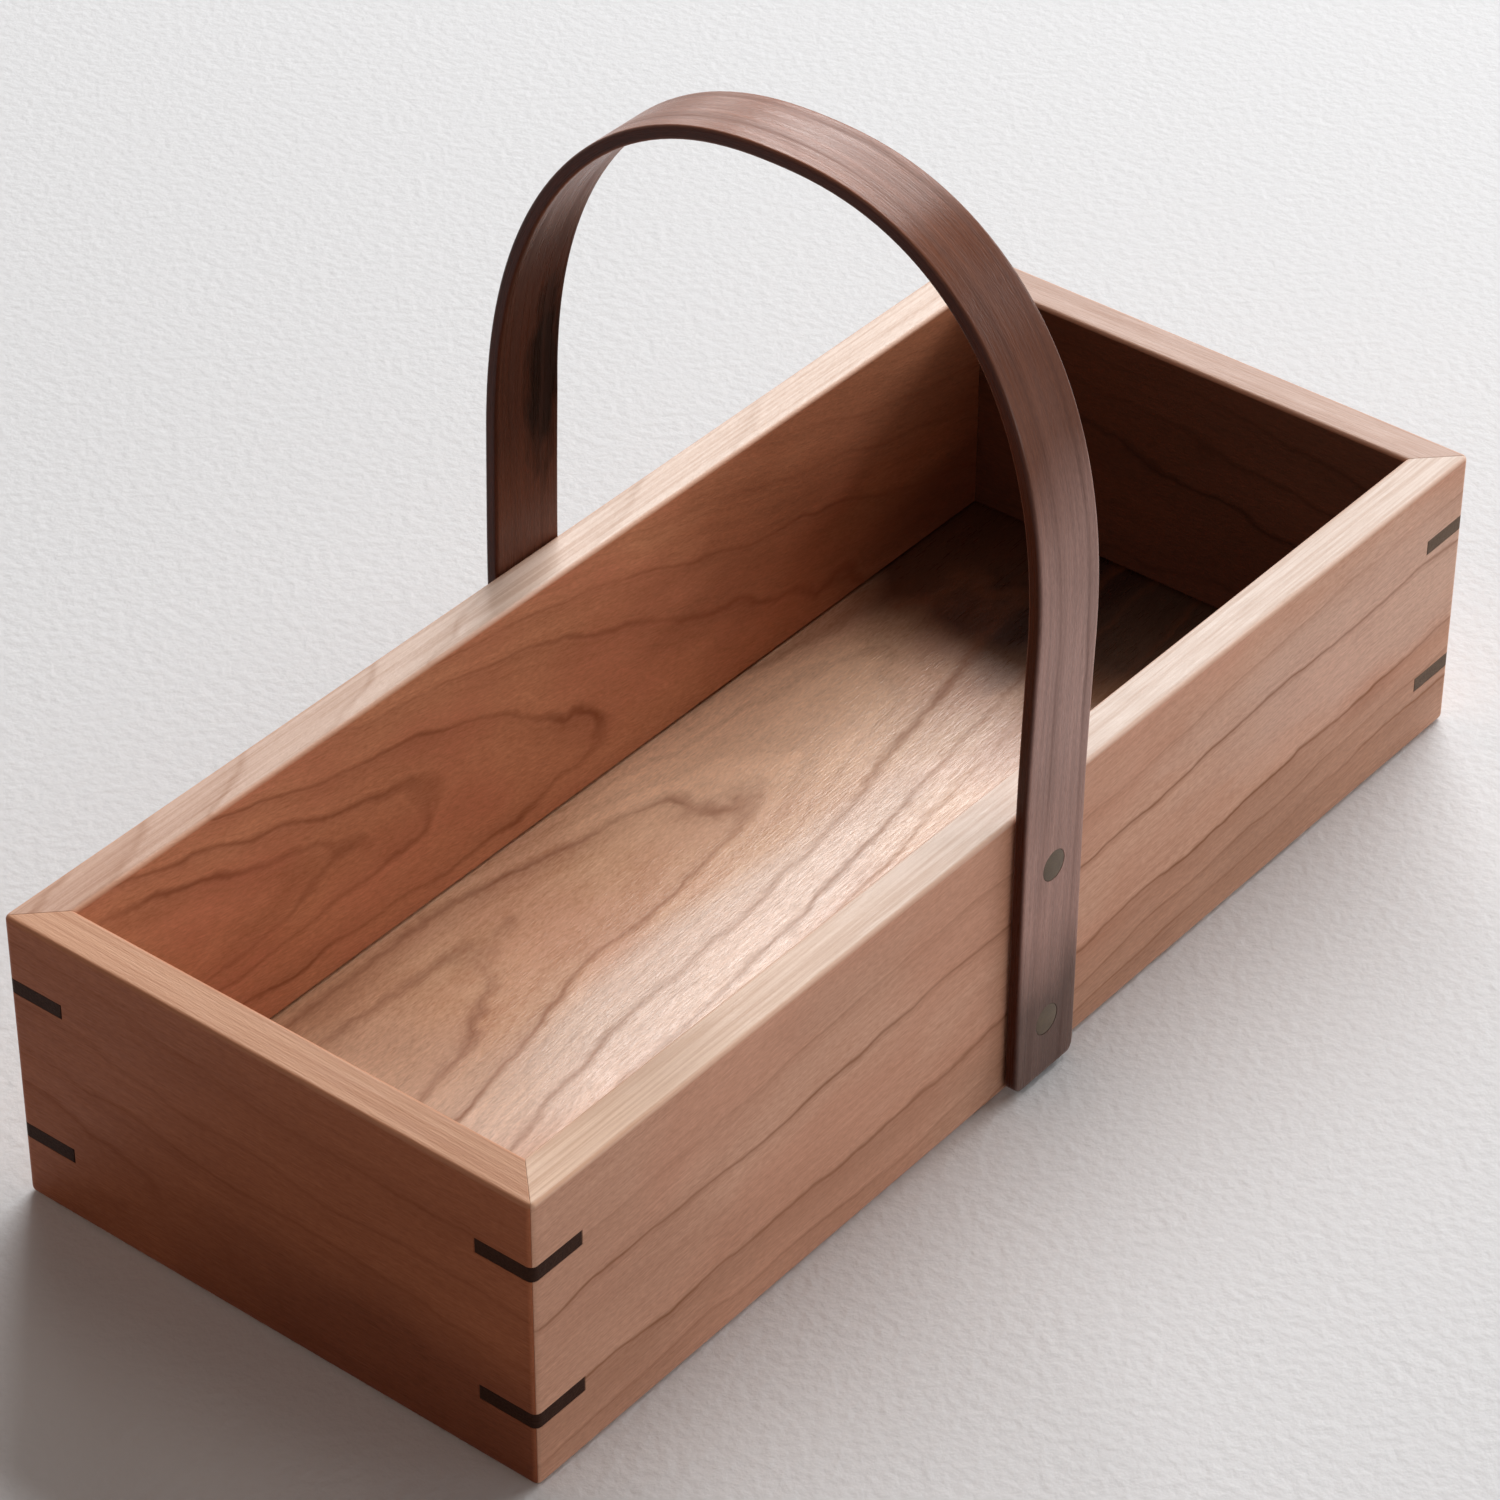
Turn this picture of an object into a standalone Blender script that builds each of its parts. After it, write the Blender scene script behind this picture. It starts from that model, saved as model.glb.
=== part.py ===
"""An open wooden storage box with a bent carrying handle.

Four mitred boards stand round a bottom panel that sits in their grooves. Dark wafers, called keys,
cross each mitred corner in saw cuts. A thin strip, bent into an arch, is pegged to both long walls.
+X runs along the box and +Z is up. The origin is under the middle of the box, on the table.
"""

import math

import bmesh
import bpy

# The box, in metres
LENGTH = 0.280
WIDTH = 0.120
HEIGHT = 0.0635
WALL = 0.009
RIM_ROUND = 0.0012
CORNER_ROUND = 0.0016
ROUND_STEPS = 4
FIT_GAP = 0.0003

# The bottom panel and the grooves that hold it
PANEL_THICK = 0.005
PANEL_LIFT = 0.004
GROOVE_DEEP = 0.0045
PANEL_PLAY = 0.0005

# The keys across the corners
KEY_THICK = 0.0032
KEY_LEG = 0.0127
KEY_FROM_EDGE = 0.0152

# The bent handle
STRIP_THICK = 0.0028
STRIP_WIDE = 0.018
GRIP_WIDE = 0.0152
STRIP_EASE = 0.001
EASE_STEPS = 3
FOOT_ROUND = 0.0025
FOOT_LIFT = 0.001
STRAIGHT_RISE = 0.0335
ARCH_RISE = 0.0805
ARCH_POWER = 2.3
ARCH_STEPS = 48
LEG_STEPS = 6
HANDLE_LEAN = 0.0036
LEAN_POWER = 1.25

# The pegs through the handle's legs
PEG_DIAMETER = 0.0064
PEG_DEEP = 0.0065
PEG_FROM_EDGE = 0.0138
PEG_SIDES = 32

# How far a cutter reaches past the surface that it cuts
OVERCUT = 0.002

CHERRY = ((0.50, 0.27, 0.16), 0.45)
CHERRY_PANEL = ((0.60, 0.40, 0.27), 0.45)
WALNUT = ((0.17, 0.095, 0.065), 0.5)
WALNUT_KEY = ((0.10, 0.065, 0.045), 0.5)
PEG_WOOD = ((0.13, 0.105, 0.07), 0.55)


def clear_scene():
    for thing in list(bpy.data.objects):
        bpy.data.objects.remove(thing, do_unlink=True)


def new_collection(name):
    collection = bpy.data.collections.new(name)
    bpy.context.scene.collection.children.link(collection)
    return collection


def wood(name, finish):
    colour, roughness = finish
    material = bpy.data.materials.new(name)
    material.use_nodes = True
    shader = material.node_tree.nodes["Principled BSDF"]
    shader.inputs["Base Color"].default_value = (*colour, 1.0)
    shader.inputs["Roughness"].default_value = roughness
    shader.inputs["Metallic"].default_value = 0.0
    return material


def place(name, mesh, collection, material=None):
    """Puts a mesh in the scene: a part if it has a material, and a cutter if it has none."""
    piece = bpy.data.objects.new(name, mesh)
    collection.objects.link(piece)
    if material is None:
        piece.hide_render = True
        piece.display_type = "WIRE"
    else:
        mesh.materials.append(material)
        mesh.shade_smooth()
        mesh.set_sharp_from_angle(angle=math.radians(30))
    return piece


def tidy_faces(mesh):
    """Welds loose caps to their sides, joins flat neighbours and turns every face outwards."""
    shape = bmesh.new()
    shape.from_mesh(mesh)
    bmesh.ops.remove_doubles(shape, verts=shape.verts, dist=1e-6)
    bmesh.ops.dissolve_limit(shape, angle_limit=0.001, verts=shape.verts, edges=shape.edges)
    bmesh.ops.recalc_face_normals(shape, faces=shape.faces)
    shape.to_mesh(mesh)
    shape.free()


def upright_block(name, outline, low, high, collection, material=None):
    """An upright block whose plan is the closed outline, from height low to height high."""
    curve = bpy.data.curves.new(name + "_plan", "CURVE")
    curve.dimensions = "2D"
    curve.fill_mode = "BOTH"
    curve.extrude = (high - low) / 2
    spline = curve.splines.new("POLY")
    spline.points.add(len(outline) - 1)
    for point, (x, y) in zip(spline.points, outline):
        point.co = (x, y, 0.0, 1.0)
    spline.use_cyclic_u = True
    plan = bpy.data.objects.new(name + "_plan", curve)
    collection.objects.link(plan)
    graph = bpy.context.evaluated_depsgraph_get()
    mesh = bpy.data.meshes.new_from_object(plan.evaluated_get(graph))
    bpy.data.objects.remove(plan)
    tidy_faces(mesh)
    block = place(name, mesh, collection, material)
    block.location.z = (low + high) / 2
    return block


def arc(centre_x, centre_y, radius, start, end):
    """Points on an arc, both ends included, at ROUND_STEPS steps."""
    points = []
    for step in range(ROUND_STEPS + 1):
        angle = start + (end - start) * step / ROUND_STEPS
        points.append((centre_x + radius * math.cos(angle), centre_y + radius * math.sin(angle)))
    return points


def cut(piece, cutter, label):
    boolean = piece.modifiers.new(label, "BOOLEAN")
    boolean.operation = "DIFFERENCE"
    boolean.solver = "EXACT"
    boolean.object = cutter


def board_outline(long, across):
    """Plan of a mitred board whose outer face is at y = -across / 2.

    Each end is cut at 45 degrees, half a fit gap short of the corner's diagonal, and the sharp tip
    is rounded to the corner's radius.
    """
    half = long / 2
    face = -across / 2
    inner_end = half - WALL - FIT_GAP / math.sqrt(2)
    tip_angle = math.radians(-45) - math.asin(FIT_GAP / 2 / CORNER_ROUND)
    tip = arc(half - CORNER_ROUND, face + CORNER_ROUND, CORNER_ROUND, math.radians(-90), tip_angle)
    right_side = tip + [(inner_end, face + WALL)]
    left_side = [(-x, y) for x, y in reversed(right_side)]
    return right_side + left_side


def ease_long_edges(board, across):
    """Rounds the rim's two long edges and the outer bottom edge, and leaves the mitres sharp."""
    mesh = board.data
    weights = mesh.attributes.new("bevel_weight_edge", "FLOAT", "EDGE")
    middle_of_wall = -across / 2 + WALL / 2
    for edge in mesh.edges:
        first, second = (mesh.vertices[index].co for index in edge.vertices)
        level = abs(first.z - second.z) < FIT_GAP
        along_one_side = (first.y < middle_of_wall) == (second.y < middle_of_wall)
        hidden_underneath = first.z < 0 and first.y > middle_of_wall
        if level and along_one_side and not hidden_underneath:
            weights.data[edge.index].value = 1.0
    bevel = board.modifiers.new("eased_edges", "BEVEL")
    bevel.limit_method = "WEIGHT"
    bevel.width = RIM_ROUND
    bevel.segments = ROUND_STEPS


def mitred_board(name, long, across, turn, collection, material):
    """One wall, modelled as if it faced -Y and then turned to face its own way."""
    board = upright_block(name, board_outline(long, across), 0.0, HEIGHT, collection, material)
    ease_long_edges(board, across)
    board.rotation_euler.z = math.radians(turn)
    return board


def rectangle(half_x, half_y):
    return [(half_x, half_y), (-half_x, half_y), (-half_x, -half_y), (half_x, -half_y)]


def bottom_panel(parts, material):
    reach = GROOVE_DEEP - WALL - PANEL_PLAY
    plan = rectangle(LENGTH / 2 + reach, WIDTH / 2 + reach)
    return upright_block("bottom_panel", plan, PANEL_LIFT, PANEL_LIFT + PANEL_THICK, parts, material)


def groove_cutter(cutters):
    reach = GROOVE_DEEP - WALL
    plan = rectangle(LENGTH / 2 + reach, WIDTH / 2 + reach)
    low = PANEL_LIFT - FIT_GAP
    high = PANEL_LIFT + PANEL_THICK + FIT_GAP
    return upright_block("cut_groove", plan, low, high, cutters)


def corner_points(points, side_x, side_y):
    """Moves points measured from a corner, inwards positive, to the box's corner on those sides."""
    return [(side_x * (LENGTH / 2 - x), side_y * (WIDTH / 2 - y)) for x, y in points]


def corner_key(name, side_x, side_y, middle, parts, material):
    """A three-sided wafer: its long edge is inside the corner, its tip is rounded with the corner."""
    leg = KEY_LEG - FIT_GAP * math.sqrt(2)
    tip = arc(CORNER_ROUND, CORNER_ROUND, CORNER_ROUND, math.radians(-90), math.radians(-180))
    plan = corner_points([(leg, 0.0)] + tip + [(0.0, leg)], side_x, side_y)
    low = middle - KEY_THICK / 2
    return upright_block(name, plan, low, low + KEY_THICK, parts, material)


def key_slot_cutter(name, side_x, side_y, middle, cutters):
    """The saw cut for one key, a fit gap wider than the key on each side."""
    corner = -OVERCUT
    reach = KEY_LEG + OVERCUT
    plan = corner_points([(reach, corner), (corner, corner), (corner, reach)], side_x, side_y)
    half_slot = KEY_THICK / 2 + FIT_GAP
    return upright_block(name, plan, middle - half_slot, middle + half_slot, cutters)


def handle_path():
    """The handle's middle line as (y, z), from the back foot over the box to the front foot.

    Two straight legs stand against the walls. Between them the strip follows a superellipse, a
    little squarer than an ellipse, that leans towards the front as it rises above the rim.
    """
    leg_y = WIDTH / 2 + FIT_GAP + STRIP_THICK / 2
    spring = HEIGHT + STRAIGHT_RISE
    crown = spring + ARCH_RISE
    points = []
    for step in range(LEG_STEPS + 1):
        points.append((leg_y, FOOT_LIFT + (spring - FOOT_LIFT) * step / LEG_STEPS))
    for step in range(1, ARCH_STEPS // 2 + 1):
        angle = math.radians(180) * step / ARCH_STEPS
        y = leg_y * max(math.cos(angle), 0.0) ** (2 / ARCH_POWER)
        points.append((y, spring + ARCH_RISE * math.sin(angle) ** (2 / ARCH_POWER)))
    points += [(-y, z) for y, z in reversed(points[:-1])]
    leaning = []
    for y, z in points:
        above_rim = max(z - HEIGHT, 0.0) / (crown - HEIGHT)
        leaning.append((y - HANDLE_LEAN * above_rim**LEAN_POWER, z))
    return leaning


def strip_half_width(z):
    """Half the strip's width at height z: full at the walls, and less towards the grip."""
    spring = HEIGHT + STRAIGHT_RISE
    up_the_arch = min(max((z - spring) / ARCH_RISE, 0.0), 1.0)
    return (STRIP_WIDE + (GRIP_WIDE - STRIP_WIDE) * up_the_arch) / 2


def bent_handle(parts, material):
    """The strip's middle surface as one ribbon, then its thickness and its softened edges."""
    ribbon = bmesh.new()
    path = handle_path()
    near_side = [ribbon.verts.new((-strip_half_width(z), y, z)) for y, z in path]
    edges = [ribbon.edges.new(pair) for pair in zip(near_side, near_side[1:])]
    far_side = bmesh.ops.extrude_edge_only(ribbon, edges=edges)["geom"]
    for vert in far_side:
        if isinstance(vert, bmesh.types.BMVert):
            vert.co.x = -vert.co.x
    bmesh.ops.recalc_face_normals(ribbon, faces=ribbon.faces)
    mesh = bpy.data.meshes.new("handle")
    ribbon.to_mesh(mesh)
    ribbon.free()
    handle = place("handle", mesh, parts, material)
    corners = mesh.attributes.new("bevel_weight_vert", "FLOAT", "POINT")
    for vert in mesh.vertices:
        at_a_foot = vert.co.z < FOOT_LIFT + FIT_GAP
        corners.data[vert.index].value = 1.0 if at_a_foot else 0.0
    rounding = handle.modifiers.new("round_feet", "BEVEL")
    rounding.affect = "VERTICES"
    rounding.limit_method = "WEIGHT"
    rounding.width = FOOT_ROUND
    rounding.segments = ROUND_STEPS
    thickness = handle.modifiers.new("thickness", "SOLIDIFY")
    thickness.thickness = STRIP_THICK
    thickness.offset = 0.0
    thickness.use_even_offset = True
    bevel = handle.modifiers.new("eased_edges", "BEVEL")
    bevel.limit_method = "ANGLE"
    bevel.angle_limit = math.radians(50)
    bevel.width = STRIP_EASE
    bevel.segments = EASE_STEPS
    return handle


def rod(name, side, middle, start, end, radius, collection, material=None):
    """A round rod along Y, from start to end, both counted outwards from the box's middle."""
    shape = bmesh.new()
    bmesh.ops.create_cone(
        shape,
        cap_ends=True,
        segments=PEG_SIDES,
        radius1=radius,
        radius2=radius,
        depth=end - start,
    )
    mesh = bpy.data.meshes.new(name)
    shape.to_mesh(mesh)
    shape.free()
    piece = place(name, mesh, collection, material)
    piece.rotation_euler.x = math.radians(90)
    piece.location = (0.0, side * (start + end) / 2, middle)
    return piece


def build():
    clear_scene()
    parts = new_collection("storage_box")
    cutters = new_collection("cutters")
    cherry = wood("cherry", CHERRY)
    panel_wood = wood("cherry_panel", CHERRY_PANEL)
    walnut = wood("walnut", WALNUT)
    key_wood = wood("walnut_key", WALNUT_KEY)
    peg_wood = wood("peg_wood", PEG_WOOD)

    walls = {
        "front": mitred_board("front_wall", LENGTH, WIDTH, 0, parts, cherry),
        "right": mitred_board("right_wall", WIDTH, LENGTH, 90, parts, cherry),
        "back": mitred_board("back_wall", LENGTH, WIDTH, 180, parts, cherry),
        "left": mitred_board("left_wall", WIDTH, LENGTH, -90, parts, cherry),
    }
    bottom_panel(parts, panel_wood)
    groove = groove_cutter(cutters)
    for wall in walls.values():
        cut(wall, groove, "panel_groove")

    levels = {"lower": KEY_FROM_EDGE, "upper": HEIGHT - KEY_FROM_EDGE}
    for end, side_x in (("left", -1), ("right", 1)):
        for face, side_y in (("front", -1), ("back", 1)):
            for level, middle in levels.items():
                place_name = f"{face}_{end}_{level}"
                corner_key(f"corner_key_{place_name}", side_x, side_y, middle, parts, key_wood)
                slot = key_slot_cutter(f"cut_key_{place_name}", side_x, side_y, middle, cutters)
                cut(walls[end], slot, f"key_slot_{place_name}")
                cut(walls[face], slot, f"key_slot_{place_name}")

    handle = bent_handle(parts, walnut)
    strip_face = WIDTH / 2 + FIT_GAP + STRIP_THICK
    peg_end = WIDTH / 2 - PEG_DEEP
    peg_levels = {"lower": PEG_FROM_EDGE, "upper": HEIGHT - PEG_FROM_EDGE}
    for face, side in (("front", -1), ("back", 1)):
        for level, middle in peg_levels.items():
            radius = PEG_DIAMETER / 2
            rod(f"peg_{face}_{level}", side, middle, peg_end, strip_face, radius, parts, peg_wood)
            hole = rod(
                f"cut_peg_{face}_{level}",
                side,
                middle,
                peg_end - FIT_GAP,
                strip_face + OVERCUT,
                radius + FIT_GAP,
                cutters,
            )
            cut(walls[face], hole, f"peg_hole_{level}")
            cut(handle, hole, f"peg_hole_{face}_{level}")


build()
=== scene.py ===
"""An open wooden storage box with a bent carrying handle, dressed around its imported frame.

Each section makes one piece or one group of like pieces, in the order in which the box is put
together. Lengths are in metres unless a name says mm.
"""

import math

import bmesh
import bpy
import numpy as np
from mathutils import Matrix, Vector


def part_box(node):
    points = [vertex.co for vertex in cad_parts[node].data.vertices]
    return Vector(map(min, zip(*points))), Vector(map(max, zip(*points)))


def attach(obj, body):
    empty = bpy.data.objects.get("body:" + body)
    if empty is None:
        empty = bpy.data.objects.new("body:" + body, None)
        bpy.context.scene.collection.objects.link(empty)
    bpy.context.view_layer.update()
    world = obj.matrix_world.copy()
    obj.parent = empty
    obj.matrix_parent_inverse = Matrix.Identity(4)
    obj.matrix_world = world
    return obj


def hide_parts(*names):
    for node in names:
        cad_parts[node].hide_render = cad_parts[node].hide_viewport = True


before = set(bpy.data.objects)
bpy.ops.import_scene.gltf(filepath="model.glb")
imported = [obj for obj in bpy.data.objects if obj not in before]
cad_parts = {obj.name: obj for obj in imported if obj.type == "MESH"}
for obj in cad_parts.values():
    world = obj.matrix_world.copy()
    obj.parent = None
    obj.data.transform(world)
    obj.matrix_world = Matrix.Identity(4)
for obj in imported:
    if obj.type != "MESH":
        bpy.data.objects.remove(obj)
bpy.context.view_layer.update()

# The four walls are solid cherry boards, mitred at the corners and grooved inside for the bottom.
# The grain runs along each board. The rim, the outer corners and the outer bottom edge are rounded
# by hand.

HALF_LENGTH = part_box("right_wall")[1].x
HALF_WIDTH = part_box("back_wall")[1].y
RIM_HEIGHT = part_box("front_wall")[1].z
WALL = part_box("right_wall")[1].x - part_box("right_wall")[0].x
RIM_ROUND = 0.0009
CORNER_ROUND = 0.0014
FOOT_ROUND = 0.0015
GROOVE_DEEP = 0.0045
GROOVE_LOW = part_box("bottom_panel")[0].z - 0.0001
GROOVE_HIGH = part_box("bottom_panel")[1].z + 0.0007
MITRE_GAP = 0.00001
MITRE_EASE = 0.0001
ARC_STEPS = 6
PAD = 0.0004
SHARP = 0.00005
SMOOTH_UP_TO = math.radians(30)


def rounded_outline(corners, radii):
    """Swaps each corner of a closed outline for an arc that touches both of its sides.

    With unit vectors u and v along the two sides and a half angle h between them, the arc touches
    the sides at r / tan(h) from the corner and its centre is r / sin(h) along the bisector. One more
    point lies on each side, PAD beyond the arc, which keeps the shading of the flat sides flat.
    """
    corners = np.array(corners, float)
    radii = np.array(radii, float)[:, None]
    u = np.roll(corners, 1, axis=0) - corners
    v = np.roll(corners, -1, axis=0) - corners
    u /= np.linalg.norm(u, axis=1, keepdims=True)
    v /= np.linalg.norm(v, axis=1, keepdims=True)
    half = np.arccos(np.clip((u * v).sum(1, keepdims=True), -1, 1)) / 2
    touch = radii / np.tan(half)
    bisector = (u + v) / np.linalg.norm(u + v, axis=1, keepdims=True)
    centre = corners + bisector * radii / np.sin(half)
    start = corners + u * touch - centre
    end = corners + v * touch - centre
    first = np.arctan2(start[:, 1:], start[:, :1])
    sweep = np.arctan2(end[:, 1:], end[:, :1]) - first
    sweep = (sweep + np.pi) % (2 * np.pi) - np.pi
    angle = first + sweep * np.linspace(0, 1, ARC_STEPS + 1)
    arc = centre[:, None, :] + radii[:, None, :] * np.stack([np.cos(angle), np.sin(angle)], 2)
    before = corners + u * (touch + PAD)
    after = corners + v * (touch + PAD)
    return np.concatenate([before[:, None], arc, after[:, None]], axis=1).reshape(-1, 2)


def inward(outline):
    """Unit normals that point into a closed outline: its tangent turned by a right angle."""
    tangent = np.roll(outline, -1, axis=0) - np.roll(outline, 1, axis=0)
    tangent /= np.linalg.norm(tangent, axis=1, keepdims=True)
    x, y = outline.T
    turns_left = (x * np.roll(y, -1) - np.roll(x, -1) * y).sum() > 0
    return np.stack([-tangent[:, 1], tangent[:, 0]], 1) * (1 if turns_left else -1)


def ease(from_end, radius):
    """How far a surface has dropped at a distance from its rounded end: the radius less the height
    of a circle there.
    """
    inside = np.clip(radius - np.asarray(from_end, float), 0, radius)
    return radius - np.sqrt(radius**2 - inside**2)


def skin(name, rings):
    """A closed skin over rings, an array of (station, point, xyz), with a flat face at each end."""
    stations, points = rings.shape[:2]
    station = np.arange(stations - 1)[:, None] * points
    point = np.arange(points)[None, :]
    following = (point + 1) % points
    near, far = station, station + points
    quads = np.stack([near + point, near + following, far + following, far + point], axis=2)
    quads = quads.reshape(-1, 4)
    ends = [list(range(points)), list(range((stations - 1) * points, stations * points))]
    mesh = bpy.data.meshes.new(name)
    mesh.from_pydata(rings.reshape(-1, 3), [], quads.tolist() + ends)
    return finished(name, mesh)


def finished(name, mesh):
    """Turns the faces outwards, shades the rounded ones smooth and puts the piece in the scene."""
    shape = bmesh.new()
    shape.from_mesh(mesh)
    bmesh.ops.remove_doubles(shape, verts=shape.verts, dist=1e-6)
    bmesh.ops.recalc_face_normals(shape, faces=shape.faces)
    shape.to_mesh(mesh)
    shape.free()
    mesh.shade_smooth()
    mesh.set_sharp_from_angle(angle=SMOOTH_UP_TO)
    piece = bpy.data.objects.new(name, mesh)
    bpy.context.scene.collection.objects.link(piece)
    return piece


def turned(rings, degrees):
    """Turns points about the upright axis through the box's middle."""
    angle = math.radians(degrees)
    x, y, z = rings[..., 0], rings[..., 1], rings[..., 2]
    across = x * math.cos(angle) - y * math.sin(angle)
    back = x * math.sin(angle) + y * math.cos(angle)
    return np.stack([across, back, z], axis=-1)


def mitred_board(name, half_long, half_across, degrees):
    """One wall, worked out as if it faced -Y, and then turned to face its own way.

    The section is given by its depth from the outer face and its height. It is carried along a
    path that is straight and then follows an eighth of a turn round the outer corner, whose radius
    shrinks with the depth, so the path ends on the corner's diagonal at every depth.
    """
    inner = WALL - GROOVE_DEEP
    section = rounded_outline(
        [
            (0, 0),
            (0, RIM_HEIGHT),
            (WALL, RIM_HEIGHT),
            (WALL, GROOVE_HIGH),
            (inner, GROOVE_HIGH),
            (inner, GROOVE_LOW),
            (WALL, GROOVE_LOW),
            (WALL, 0),
        ],
        [FOOT_ROUND, RIM_ROUND, RIM_ROUND, SHARP, SHARP, SHARP, SHARP, SHARP],
    )
    eased_end = MITRE_EASE * np.array([0, 0.12, 0.4, 1])
    round_the_corner = CORNER_ROUND * np.array([0.15, 0.3, 0.45, 0.6, 0.8, 1.1])
    along_the_board = half_long * np.array([0.05, 0.1, 0.3, 0.6, 2])
    from_end = np.concatenate([eased_end, round_the_corner, along_the_board])[:, None]
    drop = ease(from_end, MITRE_EASE)
    into = inward(section)
    depth = section[:, 0] + drop * into[:, 0]
    height = section[:, 1] + drop * into[:, 1]
    bend = np.maximum(CORNER_ROUND - depth, 0)
    straight = half_long - depth - bend
    along = np.maximum(straight + bend * math.pi / 4 - MITRE_GAP - from_end, 0)
    angle = np.clip(along - straight, 0, None) / np.maximum(bend, SHARP)
    x = np.minimum(along, straight) + bend * np.sin(angle)
    y = -(half_across - depth - bend) - bend * np.cos(angle)
    right = np.stack([x, y, height], axis=2)
    left = right[:-1] * np.array([-1, 1, 1])
    return skin(name, turned(np.concatenate([left, right[::-1]]), degrees))


def add_node(tree, kind, sockets, **settings):
    """Adds a shader node. A socket gets either a value or a link from another node's output."""
    made = tree.nodes.new(kind)
    for setting, value in settings.items():
        setattr(made, setting, value)
    for socket, value in sockets.items():
        if isinstance(value, bpy.types.NodeSocket):
            tree.links.new(value, made.inputs[socket])
        else:
            made.inputs[socket].default_value = value
    return made


def vector_sum(tree, operation, first, second=None):
    """The result of a vector operation on a place, or on two."""
    sockets = {0: first} if second is None else {0: first, 1: second}
    made = add_node(tree, "ShaderNodeVectorMath", sockets, operation=operation)
    return made.outputs["Value" if operation == "LENGTH" else "Vector"]


def number_sum(tree, operation, *numbers):
    """The result of an operation on one number, two or three."""
    made = add_node(tree, "ShaderNodeMath", dict(enumerate(numbers)), operation=operation)
    return made.outputs[0]


def rescaled(tree, number, low, high, new_low=0.0, new_high=1.0):
    """Maps a number from one range to another, and holds it at the ends."""
    sockets = {"Value": number, 1: low, 2: high, 3: new_low, 4: new_high}
    return add_node(tree, "ShaderNodeMapRange", sockets).outputs["Result"]


def blended(tree, share, first, second):
    """A colour between two colours."""
    sockets = {0: share, 6: first, 7: second}
    return add_node(tree, "ShaderNodeMix", sockets, data_type="RGBA").outputs[2]


def shade(colour, share=1.0):
    """A colour as a shader takes it, times one share or times a share for each of its parts."""
    return (*(np.array(colour) * share), 1.0)


def stored(tree, name, output="Fac"):
    """What was stored with each vertex under a name."""
    return add_node(tree, "ShaderNodeAttribute", {}, attribute_name=name).outputs[output]


def noise(tree, place, stretch, size_mm, detail=2.0):
    """Smooth noise whose features are size_mm across the grain and longer along it."""
    stretched = vector_sum(tree, "MULTIPLY", place, (stretch, 1.0, 1.0))
    sockets = {"Vector": stretched, "Scale": 1 / size_mm, "Detail": detail}
    return add_node(tree, "ShaderNodeTexNoise", sockets)


def sway(tree, place, stretch, size_mm, reach_mm):
    """A sideways push of the growth rings, by up to about reach_mm."""
    wave = noise(tree, place, stretch, size_mm, 1.0).outputs["Color"]
    centred = vector_sum(tree, "SUBTRACT", wave, (0.5, 0.5, 0.5))
    return vector_sum(tree, "MULTIPLY", centred, (0.0, 4 * reach_mm, 4 * reach_mm))


# A ring line across its radius, in mm: where its slow shading ends, its darkest place, and its end
RING_SHADING = -0.55
RING_CREST = -0.15
RING_END = 0.5
SHADING_SHARE = 0.35


def ring_lines(tree, radius, rings):
    """Dark late wood at each ring: it deepens slowly from the heart's side and ends sharply.

    A ring is its radius, how dark it is, and how far its shading reaches in, in mm.
    """
    first = rings[0][0] - rings[0][2] - 1
    span = rings[-1][0] + 3 - first
    share = rescaled(tree, radius, first, first + span)
    made = add_node(tree, "ShaderNodeValToRGB", {"Fac": share})
    ramp = made.color_ramp
    stops = [(first, 0.0), (first + span, 0.0)]
    for ring, strength, reach in rings:
        stops += [(ring - reach, 0.0), (ring + RING_SHADING, SHADING_SHARE * strength)]
        stops += [(ring + RING_CREST, strength), (ring + RING_END, 0.0)]
    stops.sort()
    for index, (where, grey) in enumerate(stops):
        position = (where - first) / span
        if index == 0:
            stop = ramp.elements[0]
        elif index == len(stops) - 1:
            stop = ramp.elements[-1]
        else:
            stop = ramp.elements.new(position)
        stop.position = position
        stop.color = (grey, grey, grey, 1.0)
    return made.outputs["Color"]


BLOTCH_WAVE = 0.8
BLOTCH_WAVE_SIZE = 0.35
BLOTCH_CORE = 0.55


def blotch(tree, place_mm, centre, reach):
    """1 at a place in the wood and 0 beyond its reach along and across, with an uneven outline."""
    offset = vector_sum(tree, "SUBTRACT", place_mm, centre)
    scaled = vector_sum(tree, "MULTIPLY", offset, [1 / part for part in reach])
    wave = noise(tree, place_mm, 0.3, BLOTCH_WAVE_SIZE * max(reach[1:]), 2.0).outputs["Fac"]
    distance = number_sum(tree, "SUBTRACT", vector_sum(tree, "LENGTH", scaled), BLOTCH_WAVE / 2)
    uneven = number_sum(tree, "MULTIPLY_ADD", wave, BLOTCH_WAVE, distance)
    return rescaled(tree, uneven, 1.0, BLOTCH_CORE)


TO_MM = (1000.0, 1000.0, 1000.0)
RIM_STREAKS = 0.55
RIM_FIBRES = 0.3
RIM_LINES = 0.3
RIM_DEEP = (0.72, 0.6, 0.52)
RIM_FADES_FROM = -0.12
RIM_FADES_TO = 0.0


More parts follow.
